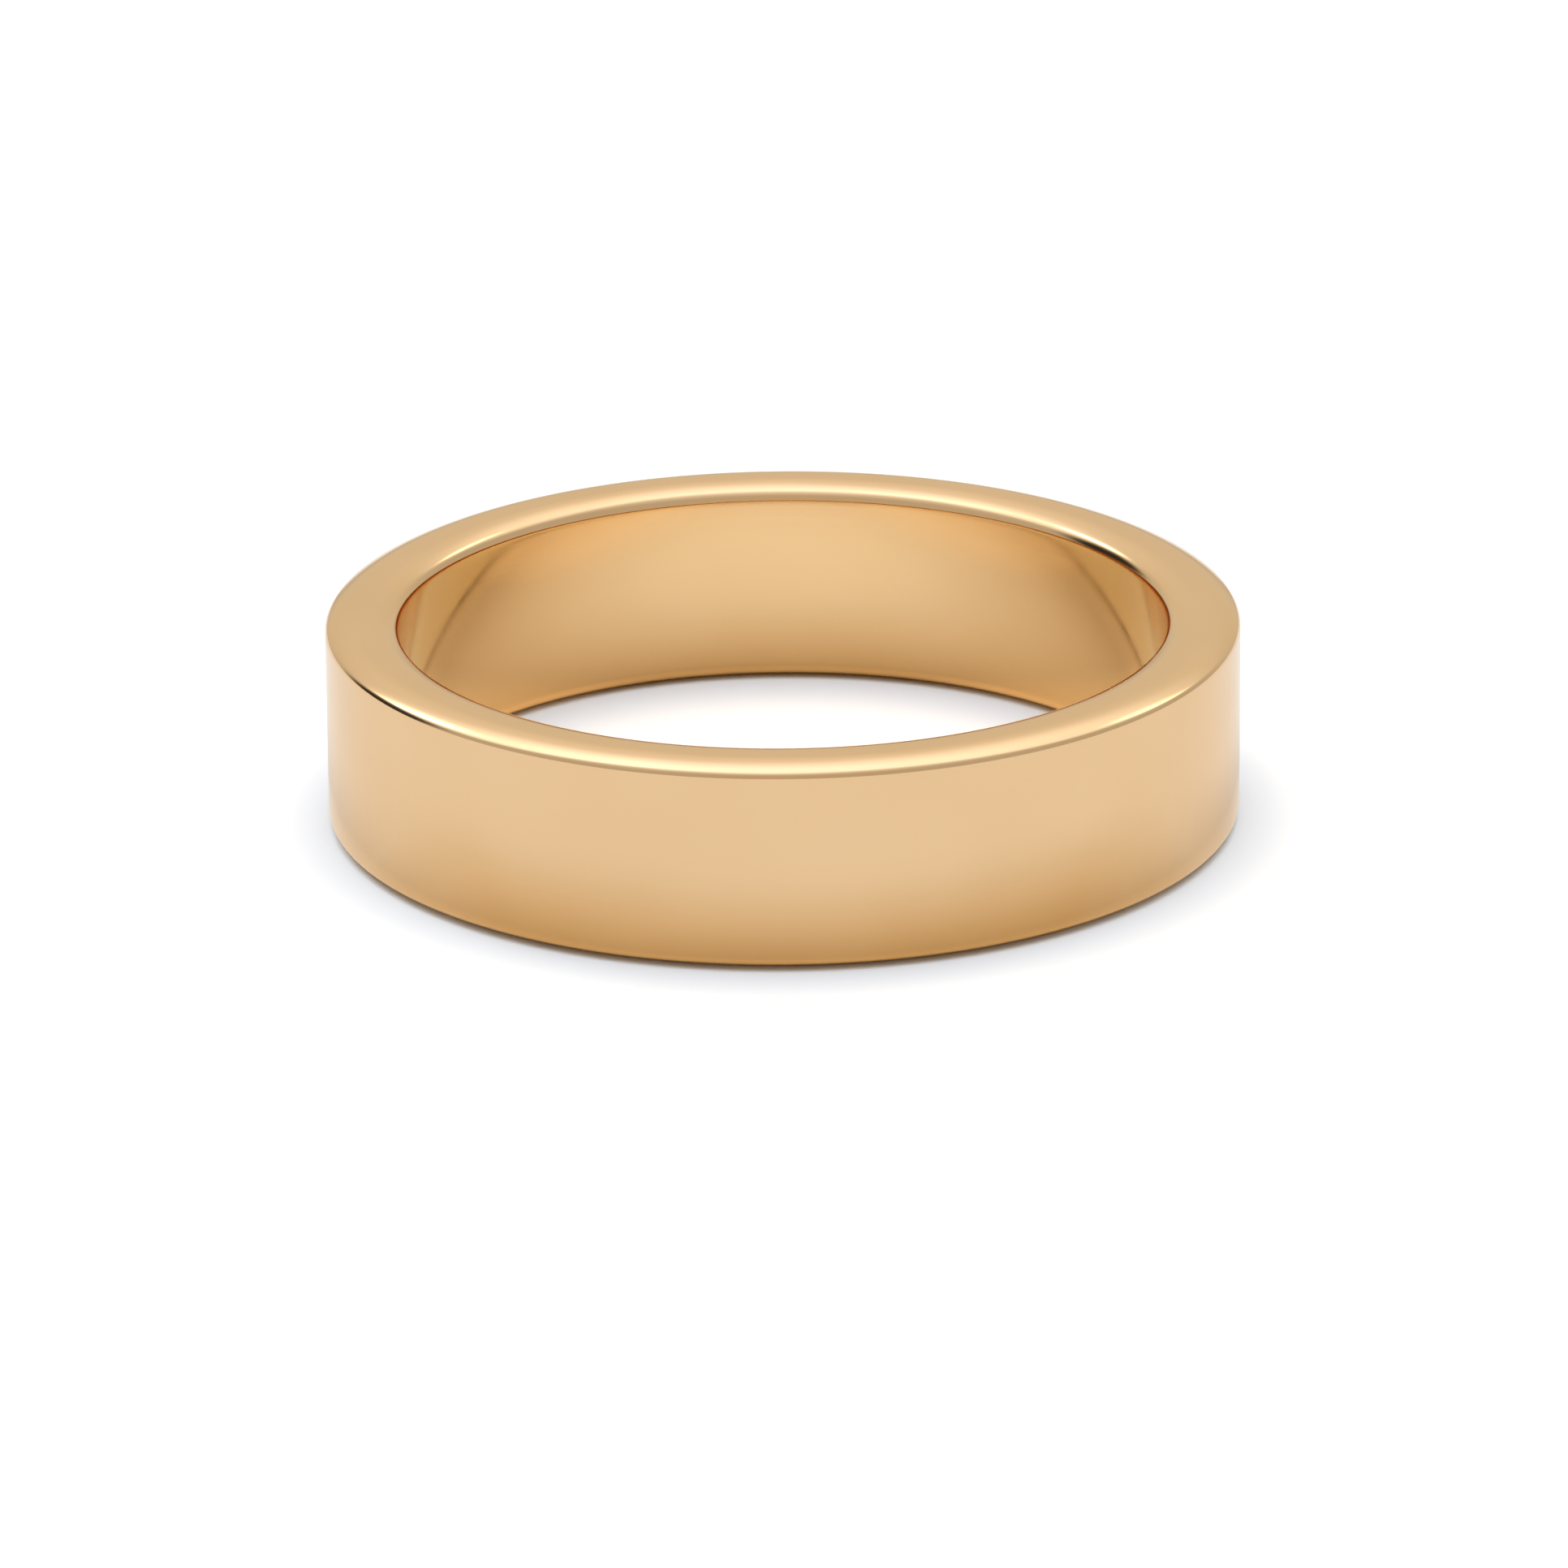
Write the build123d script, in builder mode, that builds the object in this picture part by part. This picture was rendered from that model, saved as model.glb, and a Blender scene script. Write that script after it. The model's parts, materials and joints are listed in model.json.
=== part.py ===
"""A plain flat wedding band: one solid ring of 14 karat gold with polished faces and softened edges.

The finger goes through along Z. The origin is the centre of the bore, level with the lower rim, which the
band stands on. The wall's section is drawn once, with its upper rim mirrored to the lower one, and turned
about Z.
"""

import os

from build123d import *

# Driving dimensions, in millimetres.
FINGER_DIAMETER = 18.14  # inside diameter of a US size 8 ring
WALL_THICKNESS = 1.75  # from the bore to the outside face
BAND_WIDTH = 5.0  # along the finger, from rim to rim
RIM_LAND = 0.3  # radial width of the flat strip along the middle of each rim
RIM_CROWN = 0.22
OUTER_EDGE_RADIUS = 0.18
INNER_EDGE_RADIUS = 0.3

# Places on the section: distances from the finger's axis, and heights above the middle of the width.
bore_radius = FINGER_DIAMETER / 2
outer_radius = bore_radius + WALL_THICKNESS
rim_middle = (bore_radius + outer_radius) / 2
land_inner = rim_middle - RIM_LAND / 2
land_outer = rim_middle + RIM_LAND / 2
land_height = BAND_WIDTH / 2
edge_height = land_height - RIM_CROWN

# The section's plane: X runs outwards from the axis, Y runs up, and Y = 0 is the middle of the width.
section_plane = Plane(origin=(0, 0, land_height), x_dir=(1, 0, 0), z_dir=(0, -1, 0))

with BuildPart() as band:
    with BuildSketch(section_plane) as section:
        with BuildLine():
            Line((bore_radius, -edge_height), (bore_radius, edge_height))
            Line((outer_radius, -edge_height), (outer_radius, edge_height))
            # A rim is a narrow flat strip that bends gently away to the bore and to the outside face.
            land = Line((land_inner, land_height), (land_outer, land_height))
            crown_in = TangentArc(land @ 0, (bore_radius, edge_height), tangent=(-1, 0))
            crown_out = TangentArc(land @ 1, (outer_radius, edge_height), tangent=(1, 0))
            mirror([land, crown_in, crown_out], about=Plane.XZ)
        make_face()
        fillet(section.vertices().group_by(Axis.X)[0], radius=INNER_EDGE_RADIUS)
        fillet(section.vertices().group_by(Axis.X)[-1], radius=OUTER_EDGE_RADIUS)
    revolve(axis=Axis.Z)

band.part.label = "band"

os.makedirs("parts", exist_ok=True)
export_step(band.part, "parts/band.step")
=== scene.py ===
import json
import math

import bpy
from mathutils import Euler, Matrix, Vector


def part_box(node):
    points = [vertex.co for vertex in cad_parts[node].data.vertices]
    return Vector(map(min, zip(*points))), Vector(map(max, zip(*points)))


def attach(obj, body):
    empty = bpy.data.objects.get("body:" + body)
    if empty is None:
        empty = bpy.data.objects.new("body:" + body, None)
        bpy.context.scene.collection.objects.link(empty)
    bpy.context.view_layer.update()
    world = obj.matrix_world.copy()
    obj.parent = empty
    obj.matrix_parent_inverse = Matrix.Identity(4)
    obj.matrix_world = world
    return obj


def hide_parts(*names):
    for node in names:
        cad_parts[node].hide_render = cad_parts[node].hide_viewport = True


# A plain flat wedding band in polished gold, standing on its rim on a white studio table.
# The band's visible mesh is a fine lathe of the section that the CAD part has, around the same axis.

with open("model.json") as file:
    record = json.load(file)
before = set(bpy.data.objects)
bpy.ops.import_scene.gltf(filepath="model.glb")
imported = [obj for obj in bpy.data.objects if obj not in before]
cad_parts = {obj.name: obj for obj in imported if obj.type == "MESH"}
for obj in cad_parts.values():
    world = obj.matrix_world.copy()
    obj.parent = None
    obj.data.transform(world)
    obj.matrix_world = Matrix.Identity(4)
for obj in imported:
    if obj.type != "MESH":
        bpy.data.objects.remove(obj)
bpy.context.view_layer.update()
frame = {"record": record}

MM = 0.001

# The band's section. Its radii and width come from the frame; the shapes of rim and edges are the part's own.
band_low, band_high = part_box("band")
OUTER_RADIUS = band_high.x
BAND_WIDTH = band_high.z - band_low.z
BORE_RADIUS = next(m for m in frame["record"]["mounts"] if m["name"] == "finger_bore")["dims"]["r_mm"] * MM
RIM_LAND = 0.3 * MM
RIM_CROWN = 0.22 * MM
OUTER_EDGE_RADIUS = 0.18 * MM
INNER_EDGE_RADIUS = 0.3 * MM

# How finely the lathe is cut.
TURN_STEPS = 720
CROWN_STEPS = 14
EDGE_STEPS = 14
WALL_STEPS = 10

# Gold, as linear colour: the polished surface drifts slightly between the two.
GOLD_DEEP = (0.83, 0.575, 0.325)
GOLD_PALE = (0.85, 0.595, 0.345)

# The polish: noise scales are per metre, and the relief's height is in metres.
LINES_SCALE = 9000.0
LINES_ALONG = 0.02  # round the band, the lines' noise has this share of its scale across it
GRAIN_SCALE = 16000.0
WAVES_SCALE = 350.0
NOISE_LOW, NOISE_HIGH = 0.3, 0.7
ROUGHNESS_LOW, ROUGHNESS_HIGH = 0.09, 0.13
LINES_ROUGHNESS = 0.02
GRAIN_SHARE, WAVES_SHARE = 0.3, 8.0  # their height against the lines' height
RELIEF = 0.0000003

# The white table, as linear colour. The eye sees TABLE_WHITE, with painted shade and a painted cool tint beside
# the walls against the gold's orange light. The polished metal mirrors a dimmer table, which is painted shade:
# one level outside the band, two inside it from front to back, and painted warm light near the walls. Seen by way
# of more metal, it has one colour, also painted shade, and both are lifted at the walls by painted light.
TABLE_SIZE = 6.0
TABLE_ROUGHNESS = 0.9
TABLE_WHITE = 0.92
# Painted shade and painted light on the table, seen only in the metal: dimmer levels, a warm tint inside the
# band, painted warm light near the walls that is brighter at the sides, a darker colour after more bounces, and a
# lift at the walls.
LEVEL_OUTSIDE = 0.65
LEVEL_INSIDE_FRONT, LEVEL_INSIDE_BACK = 0.725, 0.665
LEVEL_FRONT_Y, LEVEL_BACK_Y = -3.0 * MM, 4.0 * MM
INSIDE = (1.0, 0.985, 0.90)
PAINTED_WARM_LIGHT = (0.83, 0.68, 0.45)
PAINTED_WARM_LIGHT_SIDES = (1.15, 0.93, 0.60)
PAINTED_WARM_REACH = 7.0 * MM
WARM_FULL_Y, WARM_NONE_Y = -9.0 * MM, -4.0 * MM  # outside the band, it is warm only in front
SIDES_START_X, SIDES_FULL_X = 3.0 * MM, 6.0 * MM
PAINTED_SHADE_AFTER_BOUNCES = (0.75, 0.85, 0.81)
PAINTED_LIGHT_LIFT = 1.32
CONTACT_REACH = 0.9 * MM
# Painted shade and a painted cool tint on the table beside the walls, as the eye sees it.
PAINTED_SHADE_COOL = (0.80, 0.87, 0.97)
PAINTED_SHADE_REACH = 2.4 * MM

# Studio light, as linear radiance. Directions are in degrees: azimuth from +X towards +Y, then elevation.
# Each light is full within its first angle from its direction and gone beyond its second, and a negative one
# is a dark flag.
TENT = (0.58, 0.555, 0.50)
TENT_LIGHTS = (
    ((110, 76, 10, 66), (0.43, 0.45, 0.53)),
    ((110, 76, 0, 32), (0.58, 0.61, 0.76)),
    ((145, 52, 8, 32), (0.60, 0.60, 0.60)),
    ((45, 52, 8, 34), (0.42, 0.42, 0.42)),
    ((134, 40, 5, 12), (2.60, 2.50, 2.00)),
    ((46, 39, 4, 11), (1.40, 1.30, 1.00)),
    ((90, 14, 12, 60), (0.17, 0.12, 0.03)),
    ((155, 12, 12, 26), (-0.54, -0.52, -0.47)),
    ((270, 24, 6, 40), (0.02, -0.02, -0.05)),
    ((90, -50, 46, 62), (-0.26, -0.25, -0.22)),
)
SUN_IRRADIANCE = 1.65
SUN_COLOUR = (0.97, 0.975, 0.965)
SUN_ANGLE = math.radians(75)
SUN_TILT = math.radians(8)

# The light that bounces between the polished walls is followed this many times.
BOUNCES = 32

# Camera: a long lens, as in close-up product work.
CAMERA_ELEVATION = math.radians(19.84)
CAMERA_DISTANCE = 22.9 * OUTER_RADIUS
CAMERA_LENS = 239.8
CAMERA_SENSOR = 36.0
CAMERA_CLIP = (0.01, 20.0)
CAMERA_AIM_BELOW = math.radians(0.411)  # the band sits a little above the middle of the picture
CAMERA_ROLL = math.radians(-0.463)


def arc(centre, radius, start, end, steps):
    """Points on an arc, from start to end, as angles from the outward direction towards up."""
    angles = [start + (end - start) * i / steps for i in range(steps + 1)]
    return [(centre[0] + radius * math.cos(a), centre[1] + radius * math.sin(a)) for a in angles]


def rim_profile():
    """The upper rim from the outside wall to the bore: edge rounding, crown, flat strip, crown, edge rounding.

    Each point is (distance from the axis, height above the middle of the band's width). A crown is an arc
    tangent to the flat strip, and each edge rounding is an arc tangent to a crown and to a wall.
    """
    middle = (BORE_RADIUS + OUTER_RADIUS) / 2
    top = BAND_WIDTH / 2
    reach = (OUTER_RADIUS - BORE_RADIUS - RIM_LAND) / 2
    crown_radius = (reach**2 + RIM_CROWN**2) / (2 * RIM_CROWN)
    crown_z = top - crown_radius

    def edge(land_end, wall, side, radius):
        """The rounding's centre and the angle of the crown where the two meet."""
        x = wall - side * radius
        lean = math.asin(side * (x - land_end) / (crown_radius - radius))
        z = crown_z + (crown_radius - radius) * math.cos(lean)
        return (x, z), lean

    land_out, land_in = middle + RIM_LAND / 2, middle - RIM_LAND / 2
    out_centre, out_lean = edge(land_out, OUTER_RADIUS, 1, OUTER_EDGE_RADIUS)
    in_centre, in_lean = edge(land_in, BORE_RADIUS, -1, INNER_EDGE_RADIUS)
    up = math.pi / 2
    return (
        arc(out_centre, OUTER_EDGE_RADIUS, 0, up - out_lean, EDGE_STEPS)
        + arc((land_out, crown_z), crown_radius, up - out_lean, up, CROWN_STEPS)[1:]
        + arc((land_in, crown_z), crown_radius, up, up + in_lean, CROWN_STEPS)
        + arc(in_centre, INNER_EDGE_RADIUS, up + in_lean, math.pi, EDGE_STEPS)[1:]
    )


def wall_points(start, end):
    """Points strictly between two ends of a straight wall, closest together beside the edge roundings."""
    shares = [(1 - math.cos(math.pi * i / WALL_STEPS)) / 2 for i in range(1, WALL_STEPS)]
    return [tuple(a + (b - a) * share for a, b in zip(start, end)) for share in shares]


def band_mesh():
    """Turns the closed section about Z into one clean quad mesh."""
    upper = rim_profile()
    lower = [(x, -z) for x, z in reversed(upper)]
    section = upper + wall_points(upper[-1], lower[0]) + lower + wall_points(lower[-1], upper[0])
    count = len(section)
    points, faces = [], []
    for i in range(TURN_STEPS):
        turn = 2 * math.pi * i / TURN_STEPS
        for x, z in section:
            points.append((x * math.cos(turn), x * math.sin(turn), z + band_low.z + BAND_WIDTH / 2))
        here, there = i * count, (i + 1) % TURN_STEPS * count
        for j in range(count):
            k = (j + 1) % count
            faces.append((here + j, there + j, there + k, here + k))
    mesh = bpy.data.meshes.new("polished_band")
    mesh.from_pydata(points, [], faces)
    mesh.shade_smooth()
    mesh.update()
    return mesh


def node(tree, kind, **inputs):
    """A new node with some of its sockets set to a value or linked from another node's socket."""
    made = tree.nodes.new(kind)
    for key, value in inputs.items():
        socket = made.inputs[int(key[1:])] if key[0] == "_" else made.inputs[key.replace("_", " ")]
        if isinstance(value, bpy.types.NodeSocket):
            tree.links.new(value, socket)
        else:
            socket.default_value = value
    return made


def math_node(tree, operation, *values):
    made = node(tree, "ShaderNodeMath", **{f"_{i}": value for i, value in enumerate(values)})
    made.operation = operation
    return made.outputs[0]


def vector_node(tree, operation, *vectors, **inputs):
    made = node(tree, "ShaderNodeVectorMath", **{f"_{i}": vector for i, vector in enumerate(vectors)}, **inputs)
    made.operation = operation
    return made.outputs["Value" if operation in ("DOT_PRODUCT", "LENGTH") else "Vector"]


def remap(tree, value, low, high, to_low, to_high, smooth=False):
    made = node(tree, "ShaderNodeMapRange", _0=value, _1=low, _2=high, _3=to_low, _4=to_high)
    made.interpolation_type = "SMOOTHSTEP" if smooth else "LINEAR"
    return made.outputs[0]


def mix_colour(tree, factor, first, second):
    """A blend of two colours, each given as three numbers or as a socket."""
    made = node(tree, "ShaderNodeMix", _0=factor)
    made.data_type = "RGBA"
    for socket, colour in zip(made.inputs[6:8], (first, second)):
        if isinstance(colour, bpy.types.NodeSocket):
            tree.links.new(colour, socket)
        else:
            socket.default_value = (*colour, 1)
    return made.outputs[2]


def noise(tree, vector, scale, detail=2.0):
    made = node(tree, "ShaderNodeTexNoise", Vector=vector, Scale=scale, Detail=detail)
    return made.outputs[0]


def gold_material():
    """Gold polished on a wheel: faint lines that run round the band, a fine grain and slow waves in the shine."""
    material = bpy.data.materials.new("polished_gold")
    material.use_nodes = True
    tree = material.node_tree
    shader = tree.nodes["Principled BSDF"]
    place = node(tree, "ShaderNodeTexCoord").outputs["Object"]
    split = node(tree, "ShaderNodeSeparateXYZ", Vector=place)
    x, y, z = split.outputs
    squares = [math_node(tree, "MULTIPLY", side, side) for side in (x, y)]
    radius = math_node(tree, "SQRT", math_node(tree, "ADD", *squares))
    across = math_node(tree, "ADD", z, radius)
    round_x, round_y = (math_node(tree, "MULTIPLY", side, LINES_ALONG) for side in (x, y))
    lines_at = node(tree, "ShaderNodeCombineXYZ", X=round_x, Y=round_y, Z=across)
    lines = noise(tree, lines_at.outputs[0], LINES_SCALE, 3.0)
    grain = noise(tree, place, GRAIN_SCALE, 2.0)
    waves = noise(tree, place, WAVES_SCALE, 1.0)
    tone = remap(tree, waves, NOISE_LOW, NOISE_HIGH, 0.0, 1.0)
    tree.links.new(mix_colour(tree, tone, GOLD_DEEP, GOLD_PALE), shader.inputs["Base Color"])
    shader.inputs["Metallic"].default_value = 1.0
    fine = remap(tree, lines, NOISE_LOW, NOISE_HIGH, -LINES_ROUGHNESS, LINES_ROUGHNESS)
    broad = remap(tree, waves, NOISE_LOW, NOISE_HIGH, ROUGHNESS_LOW, ROUGHNESS_HIGH)
    tree.links.new(math_node(tree, "ADD", fine, broad), shader.inputs["Roughness"])
    relief = math_node(tree, "ADD", lines, math_node(tree, "MULTIPLY", grain, GRAIN_SHARE))
    relief = math_node(tree, "ADD", relief, math_node(tree, "MULTIPLY", waves, WAVES_SHARE))
    bump = node(tree, "ShaderNodeBump", Strength=1.0, Distance=RELIEF, Height=relief)
    tree.links.new(bump.outputs[0], shader.inputs["Normal"])
    return material


def make_band():
    band = bpy.data.objects.new("polished_band", band_mesh())
    bpy.context.scene.collection.objects.link(band)
    band.data.materials.append(gold_material())
    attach(band, "root")
    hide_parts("band")


def table_material():
    """A white table with painted shade beside the walls; polished metal mirrors it with painted shade and painted
    light of its own, by place on the table and never by view.
    """
    material = bpy.data.materials.new("white_table")
    material.use_nodes = True
    tree = material.node_tree
    shader = tree.nodes["Principled BSDF"]
    place = node(tree, "ShaderNodeTexCoord").outputs["Object"]
    sideways, forward = node(tree, "ShaderNodeSeparateXYZ", Vector=place).outputs[:2]
    radius = vector_node(tree, "LENGTH", place)
    middle, half = (OUTER_RADIUS + BORE_RADIUS) / 2, (OUTER_RADIUS - BORE_RADIUS) / 2
    inside = math_node(tree, "LESS_THAN", radius, middle)
    # Painted warm light near the walls, inside the band and in front of it, seen only in the metal.
    in_front = remap(tree, forward, WARM_FULL_Y, WARM_NONE_Y, 1.0, 0.0)
    from_wall = math_node(tree, "ABSOLUTE", math_node(tree, "SUBTRACT", radius, middle))
    near = remap(tree, from_wall, half, half + PAINTED_WARM_REACH, 1.0, 0.0, smooth=True)
    painted_warm_mask = math_node(tree, "MULTIPLY", near, math_node(tree, "MAXIMUM", inside, in_front))
    # Painted shade: the metal mirrors a dimmer table, at one level outside the band and two inside it.
    level_inside = remap(tree, forward, LEVEL_FRONT_Y, LEVEL_BACK_Y, LEVEL_INSIDE_FRONT, LEVEL_INSIDE_BACK)
    level = node(tree, "ShaderNodeMix", _0=inside, _2=LEVEL_OUTSIDE, _3=level_inside).outputs[0]
    off_middle = math_node(tree, "ABSOLUTE", sideways)
    to_sides = remap(tree, off_middle, SIDES_START_X, SIDES_FULL_X, 0.0, 1.0, smooth=True)
    warm = mix_colour(tree, math_node(tree, "MULTIPLY", inside, to_sides), PAINTED_WARM_LIGHT, PAINTED_WARM_LIGHT_SIDES)
    tint = mix_colour(tree, painted_warm_mask, mix_colour(tree, inside, (1, 1, 1), INSIDE), warm)
    # Painted light that lifts the mirrored table beside the walls.
    painted_light_lift = remap(tree, from_wall, half, half + CONTACT_REACH, PAINTED_LIGHT_LIFT, 1.0)
    path = node(tree, "ShaderNodeLightPath").outputs
    bounced = math_node(tree, "GREATER_THAN", path["Glossy Depth"], 1.5)
    once = vector_node(tree, "SCALE", tint, _3=level)
    painted_reflection = vector_node(tree, "SCALE", mix_colour(tree, bounced, once, PAINTED_SHADE_AFTER_BOUNCES), _3=painted_light_lift)
    # Painted shade and a painted cool tint beside the walls, as the eye sees the table.
    painted_shade = remap(tree, from_wall, half, half + PAINTED_SHADE_REACH, 1.0, 0.0, smooth=True)
    white = mix_colour(tree, painted_shade, (TABLE_WHITE, TABLE_WHITE, TABLE_WHITE), PAINTED_SHADE_COOL)
    colour = mix_colour(tree, path["Is Glossy Ray"], white, painted_reflection)
    tree.links.new(colour, shader.inputs["Base Color"])
    shader.inputs["Roughness"].default_value = TABLE_ROUGHNESS
    shader.inputs["Specular IOR Level"].default_value = 0.0
    return material


def make_floor():
    half = TABLE_SIZE / 2
    mesh = bpy.data.meshes.new("table")
    corners = [(-half, -half, 0), (half, -half, 0), (half, half, 0), (-half, half, 0)]
    mesh.from_pydata(corners, [], [(0, 1, 2, 3)])
    floor = bpy.data.objects.new("table", mesh)
    bpy.context.scene.collection.objects.link(floor)
    mesh.materials.append(table_material())


def glow(tree, ray, azimuth, elevation, inside, outside):
    """1 near a direction, 0 away from it, with a smooth edge; all in degrees, azimuth from +X towards +Y."""
    turn, rise = math.radians(azimuth), math.radians(elevation)
    centre = (math.cos(rise) * math.cos(turn), math.cos(rise) * math.sin(turn), math.sin(rise))
    away = math_node(tree, "ARCCOSINE", vector_node(tree, "DOT_PRODUCT", ray, centre))
    return remap(tree, away, math.radians(outside), math.radians(inside), 0.0, 1.0, smooth=True)


def make_world():
    """A soft studio tent for the metal to mirror. The camera sees plain white behind the table."""
    world = bpy.data.worlds.new("studio")
    world.use_nodes = True
    tree = world.node_tree
    background = tree.nodes["Background"]
    ray = node(tree, "ShaderNodeTexCoord").outputs["Generated"]
    tent = TENT
    for where, colour in TENT_LIGHTS:
        light = vector_node(tree, "SCALE", colour, _3=glow(tree, ray, *where))
        tent = vector_node(tree, "ADD", tent, light)
    seen = node(tree, "ShaderNodeLightPath").outputs["Is Camera Ray"]
    tree.links.new(mix_colour(tree, seen, tent, (1, 1, 1)), background.inputs["Color"])
    bpy.context.scene.world = world


def make_sun():
    """Broad light from above and in front that falls on the table; the metal doesn't mirror it."""
    light = bpy.data.lights.new("sun", "SUN")
    light.energy = SUN_IRRADIANCE
    light.color = SUN_COLOUR
    light.angle = SUN_ANGLE
    sun = bpy.data.objects.new("sun", light)
    bpy.context.scene.collection.objects.link(sun)
    sun.rotation_euler = (SUN_TILT, 0, 0)
    sun.visible_glossy = False


def make_camera():
    data = bpy.data.cameras.new("camera")
    data.lens = CAMERA_LENS
    data.sensor_width = CAMERA_SENSOR
    camera = bpy.data.objects.new("camera", data)
    bpy.context.scene.collection.objects.link(camera)
    back, rise = math.cos(CAMERA_ELEVATION), math.sin(CAMERA_ELEVATION)
    camera.location = Vector((0, -back, rise)) * CAMERA_DISTANCE + Vector((0, 0, BAND_WIDTH / 2))
    pitch = math.pi / 2 - CAMERA_ELEVATION - CAMERA_AIM_BELOW
    turned = Euler((pitch, 0, 0)).to_matrix() @ Matrix.Rotation(CAMERA_ROLL, 3, "Z")
    camera.rotation_euler = turned.to_euler()
    data.clip_start, data.clip_end = CAMERA_CLIP
    bpy.context.scene.camera = camera


make_camera()
make_band()
make_floor()
make_world()
make_sun()
bpy.context.scene.cycles.max_bounces = BOUNCES
bpy.context.scene.cycles.glossy_bounces = BOUNCES
bpy.context.scene.view_settings.view_transform = "Standard"
